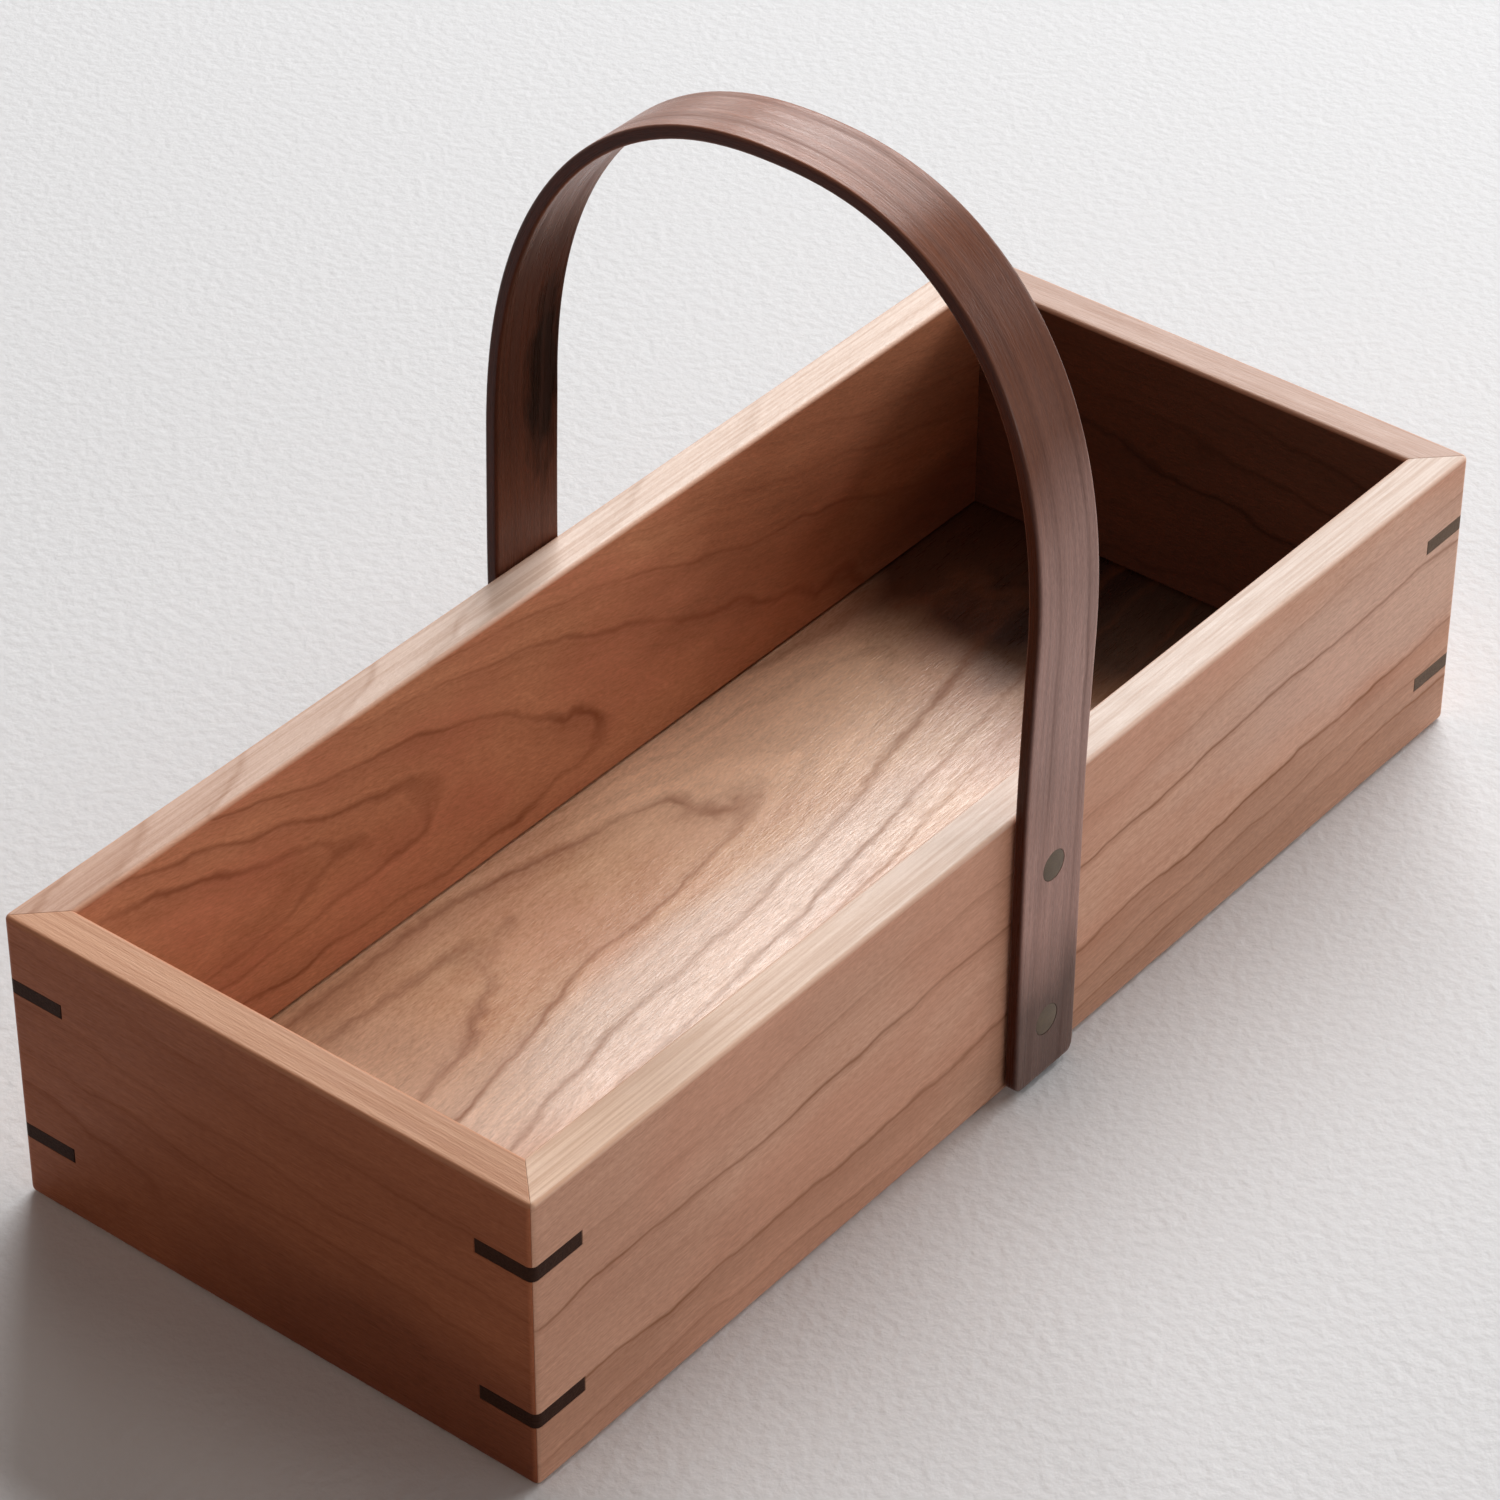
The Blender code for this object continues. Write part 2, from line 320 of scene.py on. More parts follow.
def sanded_and_lit_rim(tree, source, turn, lines, line, left, right):
    """A top edge with sanding streaks, paler in part as painted highlight.

    Its colour goes over from its left end's to its right end's, painted light that changes along
    the rim. Streaks and fibres run straight along the board, and the rings' dark lines are faint.
    """
    sockets = {
        "Vector": source,
        "Rotation": (0.0, 0.0, math.radians(90 * round(turn[2] / 90))),
        "Scale": TO_MM,
    }
    edge = add_node(tree, "ShaderNodeMapping", sockets).outputs["Vector"]
    streaks = rescaled(tree, noise(tree, edge, 0.012, 0.8, 3.0).outputs["Fac"], 0.42, 0.62)
    fibres = rescaled(tree, noise(tree, edge, 0.03, 0.3, 2.0).outputs["Fac"], 0.3, 0.7)
    streaks = number_sum(tree, "MULTIPLY", streaks, RIM_STREAKS)
    streaks = number_sum(tree, "MULTIPLY_ADD", fibres, RIM_FIBRES, streaks)
    x = add_node(tree, "ShaderNodeSeparateXYZ", {"Vector": source}).outputs["X"]
    along = rescaled(tree, x, RIM_FADES_FROM, RIM_FADES_TO)
    pale = blended(tree, along, shade(left), shade(right))
    deep = blended(tree, along, shade(left, RIM_DEEP), shade(right, RIM_DEEP))
    sanding_and_highlight = blended(tree, streaks, pale, deep)
    return blended(tree, number_sum(tree, "MULTIPLY", lines, RIM_LINES), sanding_and_highlight, shade(line))


# How much the fine grain counts in the tone
FIBRE_SHARE = 0.65
FLECK_SHARE = 1.25
PATCH_SHARE = 0.8

# A colour's deep side or its lines, as a share of the colour, and how pale a rounded edge is made,
# partly as rubbing and partly as painted highlight
MARK_DEEP = 0.6
INSIDE_DEEP = 0.54
INSIDE_LINE = 0.25
NARROW_DEEP = 0.5
RUBBED_AND_LIT = 1.2

# How the surface follows the grain: the lines are rougher and duller, and the fibres stand up
LINE_ROUGH = 0.3
LINE_DULL = 0.7
FIBRE_HIGH = 0.0001
FIBRE_RELIEF = 0.6
LINE_RELIEF = 0.25


def timber(name, turn, heart, rings, pale, deep, line, sways, place="object", gloss=0.42,
           blush=None, painted_light_and_shade=(), inside=None, rim=None, rim_right=None, narrow=None, figure=0.5,
           streaky=0.3, shine=0.25, rub_and_highlight=0.3, fuzzy=0.75):
    """Oiled solid wood, cut from round growth rings about a heart line.

    turn lays the grain along X and slopes the heart line, in degrees. heart is where that line
    stands across the grain, in mm. The distance from the heart line, swayed by slow noise, gives
    the dark rings and the faint growth between them on every face. Fine streaks and short flecks
    run along the grain. blush is a second pale colour in wide soft patches. Marked places are
    painted light and shade: darker or paler places, each with a centre, a reach, a colour and a
    strength. inside is the colour of a wall's inner face where it differs, painted shade on the
    right wall. rim is the paler colour of the top edge with its sanding streaks, partly painted
    highlight, and rim_right its colour at the right end, which paints the light changing along
    the rim. narrow is the colour of a strip's darker narrow sides, painted shade. fuzzy is how far
    the fibres stand up, and the last share is how much the rounded edges are paled, partly as
    rubbing and partly as painted highlight.
    """
    material = bpy.data.materials.new(name)
    material.use_nodes = True
    tree = material.node_tree
    shader = tree.nodes["Principled BSDF"]
    if place == "object":
        source = add_node(tree, "ShaderNodeTexCoord", {}).outputs["Object"]
    else:
        source = stored(tree, place, "Vector")
    sockets = {
        "Vector": source,
        "Location": (0.0, -heart[0], -heart[1]),
        "Rotation": [math.radians(degrees) for degrees in turn],
        "Scale": TO_MM,
    }
    grain = add_node(tree, "ShaderNodeMapping", sockets).outputs["Vector"]
    bent = grain
    for stretch, size_mm, reach_mm in sways:
        bent = vector_sum(tree, "ADD", bent, sway(tree, grain, stretch, size_mm, reach_mm))
    across = vector_sum(tree, "MULTIPLY", bent, (0.0, 1.0, 1.0))
    radius = vector_sum(tree, "LENGTH", across)
    lines = ring_lines(tree, radius, rings)
    fading = noise(tree, grain, 0.2, 14.0, 2.0).outputs["Fac"]
    lines = number_sum(tree, "MULTIPLY", lines, rescaled(tree, fading, 0.38, 0.62, 0.4, 1.0))

    growth = add_node(
        tree,
        "ShaderNodeTexNoise",
        {"W": radius, "Scale": 0.8, "Detail": 4.0, "Roughness": 0.65},
        noise_dimensions="1D",
    ).outputs["Fac"]
    fibre = noise(tree, grain, 0.03, 0.35, 2.0).outputs["Fac"]
    streak = noise(tree, grain, 0.015, 1.1, 2.0).outputs["Fac"]
    fleck = noise(tree, grain, 0.22, 0.34, 2.0).outputs["Fac"]
    patch = noise(tree, grain, 0.4, 15.0, 3.0).outputs["Fac"]
    tone = 0.5
    for part, share in (
        (growth, figure),
        (fibre, FIBRE_SHARE),
        (streak, streaky),
        (fleck, FLECK_SHARE),
        (patch, PATCH_SHARE),
    ):
        centred = number_sum(tree, "SUBTRACT", part, 0.5)
        tone = number_sum(tree, "MULTIPLY_ADD", centred, share, tone)
    tone = rescaled(tree, tone, 0.0, 1.0)

    colour = shade(pale)
    if blush:
        wide = noise(tree, grain, 0.5, 22.0, 2.0).outputs["Fac"]
        colour = blended(tree, rescaled(tree, wide, 0.42, 0.6), colour, shade(blush))
    colour = blended(tree, tone, colour, shade(deep))
    place_mm = vector_sum(tree, "MULTIPLY", source, TO_MM)
    # Painted light and shade: darker and paler places laid over the wood's colour
    for centre, reach, mark, strength in painted_light_and_shade:
        share = number_sum(tree, "MULTIPLY", blotch(tree, place_mm, centre, reach), strength)
        marked = blended(tree, tone, shade(mark), shade(mark, MARK_DEEP))
        colour = blended(tree, share, colour, marked)
    colour = blended(tree, lines, colour, shade(line))
    # A wall's inner face can take its own colour; on the right wall this is painted shade
    if inside:
        inner = blended(tree, tone, shade(inside), shade(inside, INSIDE_DEEP))
        inner = blended(tree, lines, inner, shade(inside, INSIDE_LINE))
        colour = blended(tree, stored(tree, "inner_face"), colour, inner)
    # The rim's top takes the paler rim colour, partly painted highlight where the top catches the
    # light
    if rim:
        sanding_and_highlight = sanded_and_lit_rim(tree, source, turn, lines, line, rim, rim_right or rim)
        colour = blended(tree, stored(tree, "rim_top"), colour, sanding_and_highlight)
    # The strip's narrow sides take a darker colour, painted shade
    if narrow:
        sides = blended(tree, tone, shade(narrow), shade(narrow, NARROW_DEEP))
        colour = blended(tree, stored(tree, "painted_shade_side"), colour, sides)
    # Rounded edges are paled, partly as rubbing and partly as painted highlight where they catch light
    edge_paling = number_sum(tree, "MULTIPLY", stored(tree, "edge_rub_and_highlight"), rub_and_highlight)
    colour = blended(tree, edge_paling, colour, shade(pale, RUBBED_AND_LIT))
    tree.links.new(colour, shader.inputs["Base Color"])

    rough = rescaled(tree, fibre, 0.3, 0.7, gloss - 0.06, gloss + 0.1)
    rough = number_sum(tree, "MULTIPLY_ADD", lines, LINE_ROUGH, rough)
    tree.links.new(rough, shader.inputs["Roughness"])
    sheen = number_sum(tree, "MULTIPLY_ADD", lines, -LINE_DULL * shine, shine)
    tree.links.new(sheen, shader.inputs["Specular IOR Level"])
    relief = number_sum(tree, "MULTIPLY", fibre, FIBRE_RELIEF)
    relief = number_sum(tree, "MULTIPLY_ADD", fleck, FIBRE_RELIEF, relief)
    sunk = number_sum(tree, "MULTIPLY", lines, LINE_RELIEF)
    relief = number_sum(tree, "SUBTRACT", relief, sunk)
    sockets = {"Strength": fuzzy, "Distance": FIBRE_HIGH, "Height": relief}
    bump = add_node(tree, "ShaderNodeBump", sockets)
    tree.links.new(bump.outputs["Normal"], shader.inputs["Normal"])
    return material


def store(piece, name, numbers):
    """Keeps one number for each vertex, for the material to read."""
    layer = piece.data.attributes.new(name, "FLOAT", "POINT")
    layer.data.foreach_set("value", np.clip(numbers, 0, 1).astype(np.float32))


def vertices(piece):
    """Where each vertex is."""
    where = np.zeros(len(piece.data.vertices) * 3, np.float32)
    piece.data.vertices.foreach_get("co", where)
    return where.reshape(-1, 3).astype(float)


def edge_between(first, second, radius):
    """1 halfway round an edge and 0 on both faces, from the distances to the two faces."""
    return 2 * np.clip(1 - first / radius, 0, 1) * np.clip(1 - second / radius, 0, 1)


def dress(piece, material, slot, *nodes):
    """Gives a piece its wood and hides the solids of the frame that it stands for."""
    piece.data.materials.clear()
    piece.data.materials.append(material)
    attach(piece, "root")
    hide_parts(*nodes)


# Each wall's own cut of the tree, in degrees and mm. The rim colours are paler partly as painted
# highlight, and rim_right paints the light changing along a rim. Some colours paint light and
# shade, as noted at each wall.
WAVES = ((0.35, 45.0, 3.5), (0.6, 11.0, 0.9), (0.8, 3.5, 0.2))
WALL_WOOD = {
    "front": {
        "turn": (0.0, 2.4, 0.3),
        "heart": (-45.0, -60.0),
        "rings": [
            (66.0, 0.8, 6.0),
            (73.0, 0.6, 6.0),
            (81.5, 1.0, 8.0),
            (100.5, 1.0, 2.0),
            (113.0, 0.45, 6.0),
        ],
        "pale": (0.72, 0.41, 0.28),
        "deep": (0.5, 0.235, 0.14),
        "blush": (0.7, 0.355, 0.235),
        "line": (0.22, 0.08, 0.033),
        "rim": (0.86, 0.62, 0.46),
        "rim_right": (0.76, 0.625, 0.54),
        "figure": 0.4,
        "streaky": 0.25,
        # These are painted light and shade: darker along the foot, towards the left end and a little
        # high at the left, and paler high at the right end, where more light falls.
        "painted_light_and_shade": (
            ((70.0, -60.0, 4.0), (110.0, 30.0, 22.0), (0.56, 0.285, 0.175), 0.7),
            ((-90.0, -60.0, 4.0), (80.0, 30.0, 16.0), (0.56, 0.28, 0.17), 0.3),
            ((-60.0, -60.0, 56.0), (26.0, 30.0, 7.0), (0.56, 0.27, 0.165), 0.25),
            ((-150.0, -60.0, 34.0), (75.0, 50.0, 46.0), (0.54, 0.255, 0.155), 0.5),
            ((110.0, -60.0, 42.0), (75.0, 20.0, 20.0), (0.8, 0.52, 0.4), 0.5),
        ),
    },
    "right": {
        "turn": (0.5, 1.0, 88.0),
        "heart": (165.0, 20.0),
        "rings": [
            (26.0, 0.6, 2.0),
            (30.5, 0.5, 2.0),
            (36.0, 0.8, 3.0),
            (41.0, 0.5, 2.0),
            (47.0, 0.6, 3.0),
        ],
        "pale": (0.68, 0.34, 0.2),
        "deep": (0.45, 0.195, 0.1),
        "line": (0.2, 0.065, 0.026),
        # The inner face is painted shade: nearly black-brown, where the inside of the right end lies
        # in shade
        "inside": (0.12, 0.045, 0.026),
        "rim": (0.54, 0.36, 0.285),
    },
    "back": {
        "turn": (0.0, -9.2, -5.1),
        "heart": (76.0, 24.3),
        "rings": [
            (18.4, 0.8, 2.5),
            (21.4, 0.7, 2.0),
            (26.6, 0.8, 3.0),
            (33.2, 0.6, 4.0),
            (39.4, 0.7, 4.0),
            (47.0, 0.4, 3.0),
            (53.9, 0.5, 3.0),
        ],
        "pale": (0.68, 0.33, 0.185),
        "deep": (0.44, 0.185, 0.09),
        "blush": (0.65, 0.27, 0.16),
        "line": (0.2, 0.06, 0.024),
        "rim": (0.6, 0.385, 0.285),
        "rim_right": (0.82, 0.66, 0.56),
        "figure": 0.7,
        # These are painted shade. The first two darken the right end and the upper right half, where
        # the right wall shades the back wall. The third darkens the upper middle, partly as painted
        # shade and partly where dark rings run.
        "painted_light_and_shade": (
            ((155.0, 45.0, 10.0), (100.0, 14.0, 55.0), (0.2, 0.065, 0.032), 0.85),
            ((110.0, 45.0, 60.0), (105.0, 14.0, 32.0), (0.42, 0.16, 0.08), 0.8),
            ((56.0, 45.0, 42.0), (46.0, 14.0, 24.0), (0.42, 0.155, 0.075), 0.75),
        ),
    },
    "left": {
        "turn": (-0.5, -1.0, 92.0),
        "heart": (-170.0, 8.0),
        "rings": [
            (24.0, 0.3, 3.0),
            (30.0, 0.4, 4.0),
            (36.0, 0.4, 3.0),
            (43.0, 0.3, 4.0),
            (52.0, 0.4, 4.0),
        ],
        # This board's outer face is painted shade: its pale, deep and line colours are darker and
        # redder, as the left end lies in shade, and the mark darkens it further towards its foot. The
        # inner face keeps a plain cherry colour.
        "pale": (0.42, 0.142, 0.064),
        "deep": (0.27, 0.08, 0.033),
        "line": (0.15, 0.04, 0.017),
        "shine": 0.12,
        "painted_light_and_shade": (((-140.0, -60.0, 2.0), (30.0, 100.0, 30.0), (0.2, 0.05, 0.022), 0.6),),
        "inside": (0.58, 0.265, 0.145),
        "rim": (0.65, 0.37, 0.235),
    },
}
walls = {}
for side, half_long, half_across, degrees in (
    ("front", HALF_LENGTH, HALF_WIDTH, 0),
    ("right", HALF_WIDTH, HALF_LENGTH, 90),
    ("back", HALF_LENGTH, HALF_WIDTH, 180),
    ("left", HALF_WIDTH, HALF_LENGTH, -90),
):
    walls[side] = mitred_board(f"{side}_board", half_long, half_across, degrees)
    wood = timber(f"{side}_cherry", sways=WAVES, **WALL_WOOD[side])
    dress(walls[side], wood, "cherry", f"{side}_wall")

# The corner keys are thin three-sided walnut wafers, glued into saw cuts across each mitred corner
# and trimmed flush with both faces. A hairline of glue shows round each.

KEY_LEG = 0.0127
KEY_SEAM = 0.00004
KEY_EASE = 0.00006
KEY_TIP = 0.00008
CUT_PAST = 0.002


def wafer(name, side_x, side_y, low, high, grow):
    """A wafer across one corner: its plan, carried from low to high with eased rims.

    The plan is a triangle on the corner with the corner's own rounding. grow is 0 for the key and
    the seam's width for its saw cut, which also starts outside the corner.
    """
    start = -CUT_PAST if grow else 0.0
    leg = KEY_LEG + grow * (1 + math.sqrt(2))
    reach = leg + CUT_PAST if grow else leg
    plan = rounded_outline(
        [(reach, start), (start, start), (start, reach)],
        [KEY_TIP, SHARP if grow else CORNER_ROUND, KEY_TIP],
    )
    heights = np.array([low, low + KEY_EASE, high - KEY_EASE, high])
    into = inward(plan)
    drop = np.array([0, 0, 0, 0] if grow else [KEY_EASE, 0, 0, KEY_EASE])[:, None]
    x = side_x * (HALF_LENGTH - plan[:, 0] - drop * into[:, 0])
    y = side_y * (HALF_WIDTH - plan[:, 1] - drop * into[:, 1])
    return skin(name, np.stack([x, y, np.broadcast_to(heights[:, None], x.shape)], axis=2))


def cut_away(piece, cutters):
    """Takes the cutters out of a piece with exact Booleans, and keeps only the result."""
    for cutter in cutters:
        boolean = piece.modifiers.new(cutter.name, "BOOLEAN")
        boolean.operation = "DIFFERENCE"
        boolean.solver = "EXACT"
        boolean.object = cutter
    graph = bpy.context.evaluated_depsgraph_get()
    mesh = bpy.data.meshes.new_from_object(piece.evaluated_get(graph))
    piece.modifiers.clear()
    piece.data = mesh
    mesh.shade_smooth()
    mesh.set_sharp_from_angle(angle=SMOOTH_UP_TO)


key_woods = {}
# Two copies of one walnut, lit and shaded: the dark one is dark walnut made darker still as painted
# shade, for keys on shaded faces; the paler one is painted light, for the front right corner, where
# more light falls.
for depth, pale, deep, line in (
    ("dark", (0.045, 0.018, 0.01), (0.02, 0.007, 0.004), (0.02, 0.007, 0.004)),
    ("painted_lit", (0.17, 0.115, 0.08), (0.11, 0.072, 0.05), (0.08, 0.05, 0.035)),
):
    key_woods[depth] = timber(
        f"key_walnut_{depth}",
        turn=(0.0, 0.0, 45.0),
        heart=(60.0, -30.0),
        rings=[(20.0, 0.2, 2.0), (80.0, 0.2, 2.0)],
        pale=pale,
        deep=deep,
        line=line,
        sways=WAVES,
        gloss=0.5,
        shine=0.06,
    )
key_cuts = {side: [] for side in walls}
for end, side_x in (("left", -1), ("right", 1)):
    for face, side_y in (("front", -1), ("back", 1)):
        for level in ("lower", "upper"):
            node = f"corner_key_{face}_{end}_{level}"
            low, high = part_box(node)[0].z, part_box(node)[1].z
            key = wafer(f"key_{face}_{end}_{level}", side_x, side_y, low, high, 0)
            # The front right keys take the paler copy, painted light
            wood = key_woods["painted_lit" if (face, end) == ("front", "right") else "dark"]
            dress(key, wood, "walnut_key", node)
            low, high = low - KEY_SEAM, high + KEY_SEAM
            cut = wafer(f"cut_{face}_{end}_{level}", side_x, side_y, low, high, KEY_SEAM)
            key_cuts[end].append(cut)
            key_cuts[face].append(cut)

# The bottom is one wide flat-sawn cherry panel, held loosely in the walls' grooves so that it can
# swell. Its rings open towards the left end, which draws long pointed arches along the floor.

PANEL_LOW, PANEL_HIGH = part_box("bottom_panel")
PANEL_EASE = 0.0002


def slab(name, low, high, easing):
    """A flat board: its section across the grain, carried along X, with every edge eased."""
    section = rounded_outline(
        [(low.y, low.z), (low.y, high.z), (high.y, high.z), (high.y, low.z)], [easing] * 4
    )
    into = inward(section)
    half = (high.x - low.x) / 2
    round_the_end = easing * np.array([0, 0.1, 0.4, 1, 3])
    along_the_board = half * np.array([0.1, 0.5, 1])
    from_end = np.concatenate([round_the_end, along_the_board])
    drop = ease(from_end, easing)[:, None]
    y = section[:, 0] + drop * into[:, 0]
    z = section[:, 1] + drop * into[:, 1]
    x = np.broadcast_to((half - from_end)[:, None], y.shape)
    right = np.stack([x, y, z], axis=2)
    left = right[:-1] * np.array([-1, 1, 1])
    return skin(name, np.concatenate([left, right[::-1]]))


panel_wood = timber(
    "panel_cherry",
    turn=(0.0, -4.0, -1.95),
    heart=(30.1, -31.0),
    rings=[
        (30.0, 0.5, 2.0),
        (36.5, 0.8, 2.0),
        (40.6, 0.85, 2.5),
        (48.3, 0.55, 1.0),
        (53.0, 0.45, 1.0),
        (57.0, 0.4, 1.0),
        (64.0, 0.45, 1.0),
    ],
    pale=(0.82, 0.56, 0.37),
    deep=(0.48, 0.24, 0.125),
    blush=(0.78, 0.48, 0.33),
    line=(0.21, 0.062, 0.019),
    sways=((0.35, 40.0, 2.2), (0.5, 11.0, 0.7), (0.8, 4.0, 0.25)),
    gloss=0.31,
    figure=0.8,
    streaky=0.4,
    shine=0.46,
    # These are painted light and shade: paler right of the middle, at the left and in a cooler band
    # across the middle where the sheen falls, darker along the back wall at the left, and nearly black
    # at the right end, where the right wall shades the floor.
    painted_light_and_shade=(
        ((40.0, 34.0, 9.0), (55.0, 28.0, 60.0), (0.97, 0.65, 0.44), 0.8),
        ((-25.0, 0.0, 9.0), (80.0, 16.0, 60.0), (0.84, 0.65, 0.52), 0.7),
        ((-85.0, 48.0, 9.0), (40.0, 12.0, 60.0), (0.58, 0.32, 0.18), 0.55),
        ((-85.0, 20.0, 9.0), (24.0, 26.0, 60.0), (0.84, 0.56, 0.39), 0.6),
        ((122.0, 35.0, 9.0), (50.0, 62.0, 60.0), (0.08, 0.024, 0.011), 0.97),
        ((122.0, -8.0, 9.0), (46.0, 50.0, 60.0), (0.022, 0.007, 0.0035), 0.85),
    ),
)
panel = slab("floor_panel", PANEL_LOW, PANEL_HIGH, PANEL_EASE)
dress(panel, panel_wood, "cherry_panel", "bottom_panel")

# The handle is one thin walnut strip, steamed and bent into an arch over the box, and a little
# narrower at the grip. Its two straight legs stand against the long walls, where the pegs hold
# them. The arch leans a little to the front.

STRIP_THICK = 0.0028
STRIP_HALF = 0.009
GRIP_HALF = 0.0076
STRIP_EASE = 0.0007
# How far round from a narrow side its painted shade reaches, as a share of the rounding
NARROW_REACH = 0.6
FOOT_CORNER = 0.0025
FOOT_LIFT = 0.001
FIT_GAP = 0.0003
SPRING = RIM_HEIGHT + 0.0335
ARCH_RISE = 0.0805
ARCH_POWER = 2.3
HANDLE_LEAN = 0.0036
LEAN_POWER = 1.25
PATH_STEPS = 4000
STRIP_STATIONS = 160
LOOK_EVERY = 4

# Painted light and shade along the strip, in mm from the back foot: centre, reach, colour and
# strength. The back leg is darker, with a nearly black place on its inner face, and a band past the
# crown and the front foot are darker, all painted shade; the crown and the front leg are paler,
# painted highlight and sheen.
STRIP_PAINTED_LIGHT_AND_SHADE = (
    ((20.0, 0.0, 0.0), (130.0, 90.0, 90.0), (0.15, 0.05, 0.028), 0.9),
    ((118.0, 0.0, 0.0), (48.0, 90.0, 90.0), (0.06, 0.02, 0.012), 0.7),
    ((102.0, 4.2, -1.4), (25.0, 6.0, 2.2), (0.014, 0.006, 0.004), 0.95),
    ((192.0, 0.0, 0.0), (60.0, 90.0, 90.0), (0.34, 0.13, 0.072), 0.95),
    ((440.0, 0.0, 0.0), (160.0, 90.0, 90.0), (0.5, 0.285, 0.235), 0.95),
    ((264.0, 0.0, 0.0), (30.0, 90.0, 90.0), (0.165, 0.052, 0.022), 0.35),
    ((324.0, 0.0, 0.0), (40.0, 90.0, 90.0), (0.5, 0.295, 0.25), 0.55),
    ((426.0, 0.0, 0.0), (42.0, 60.0, 60.0), (0.12, 0.068, 0.053), 0.85),
)


def strip_path():
    """The strip's middle line from the back foot to the front foot, as (y, z), in even steps.

    Each leg is straight up to the spring line. Between the legs, y is the half width times the
    cosine of an angle and z rises by its sine, both to the power 2 / ARCH_POWER, which makes the
    arch a little squarer than an ellipse. The lean moves y to the front by a power of the height
    above the rim.
    """
    leg_y = HALF_WIDTH + FIT_GAP + STRIP_THICK / 2
    angle = np.linspace(0, np.pi, PATH_STEPS)
    cosine = np.cos(angle)
    y = leg_y * np.sign(cosine) * np.abs(cosine) ** (2 / ARCH_POWER)
    z = SPRING + ARCH_RISE * np.sin(angle).clip(0) ** (2 / ARCH_POWER)
    rise = np.linspace(FOOT_LIFT, SPRING, PATH_STEPS // 4)[:-1]
    y = np.concatenate([np.full(len(rise), leg_y), y, np.full(len(rise), -leg_y)])
    z = np.concatenate([rise, z, rise[::-1]])
    above = (z - RIM_HEIGHT).clip(0) / (SPRING + ARCH_RISE - RIM_HEIGHT)
    y = y - HANDLE_LEAN * above**LEAN_POWER
    travelled = np.concatenate([[0], np.cumsum(np.hypot(np.diff(y), np.diff(z)))])
    return travelled, y, z


def strip_half_width(z):
    """Half the width at height z, less towards the grip in a straight line from the spring."""
    share = ((z - SPRING) / ARCH_RISE).clip(0, 1)
    return STRIP_HALF + (GRIP_HALF - STRIP_HALF) * share


def bent_strip(name):
    """The strip's section, a rounded rectangle, carried along its path.

    At each foot the width draws in by a circle of FOOT_CORNER and the thickness by STRIP_EASE.
    """
    travelled, path_y, path_z = strip_path()
    total = travelled[-1]
    round_the_end = STRIP_EASE * np.array([0, 0.06, 0.2, 0.45, 0.8])
    round_the_corner = FOOT_CORNER * np.array([0.45, 0.7, 1.1])
    near_foot = np.concatenate([round_the_end, round_the_corner])
    middle = np.linspace(FOOT_CORNER * 2, total - FOOT_CORNER * 2, STRIP_STATIONS)
    station = np.concatenate([near_foot, middle, total - near_foot[::-1]])
    y = np.interp(station, travelled, path_y)
    z = np.interp(station, travelled, path_z)
    slope_y = np.interp(station, travelled, np.gradient(path_y, travelled))
    slope_z = np.interp(station, travelled, np.gradient(path_z, travelled))
    length = np.hypot(slope_y, slope_z)
    out_y, out_z = slope_z / length, -slope_y / length
    from_foot = np.minimum(station, total - station)
    half = strip_half_width(z) - ease(from_foot, FOOT_CORNER)
    thick = 1 - ease(from_foot, STRIP_EASE) / (STRIP_THICK / 2)
    t = STRIP_THICK / 2
    section = rounded_outline(
        [(-STRIP_HALF, -t), (-STRIP_HALF, t), (STRIP_HALF, t), (STRIP_HALF, -t)], [STRIP_EASE] * 4
    )
    across = section[:, 0] / STRIP_HALF * half[:, None]
    out = section[:, 1] * thick[:, None]
    back = y[:, None] + out * out_y[:, None]
    up = z[:, None] + out * out_z[:, None]
    return skin(name, np.stack([across, back, up], axis=2))


def lay_grain(piece):
    """Stores each vertex's place in the strip before it was bent: along, across and out.

    The nearest point of the path gives the first. The offset from it, split along the path and
    square to it, gives the rest.
    """
    travelled, path_y, path_z = strip_path()
    where = vertices(piece)
    off_y = where[:, 1:2] - path_y[::LOOK_EVERY]
    off_z = where[:, 2:3] - path_z[::LOOK_EVERY]
    nearest = np.hypot(off_y, off_z).argmin(1) * LOOK_EVERY
    slope_y = np.gradient(path_y, travelled)[nearest]
    slope_z = np.gradient(path_z, travelled)[nearest]
    away_y = where[:, 1] - path_y[nearest]
    away_z = where[:, 2] - path_z[nearest]
    along = travelled[nearest] + away_y * slope_y + away_z * slope_z
    out = away_y * slope_z - away_z * slope_y
    place = np.stack([along, where[:, 0], out], axis=1).astype(np.float32)
    layer = piece.data.attributes.new("strip_place", "FLOAT_VECTOR", "POINT")
    layer.data.foreach_set("vector", place.ravel())
    to_side = strip_half_width(where[:, 2]) - np.abs(where[:, 0])
    to_face = STRIP_THICK / 2 - np.abs(out)
    store(piece, "edge_rub_and_highlight", edge_between(to_side.clip(0), to_face.clip(0), STRIP_EASE))
    # The narrow sides get painted shade
    store(piece, "painted_shade_side", 1 - to_side / (NARROW_REACH * STRIP_EASE))


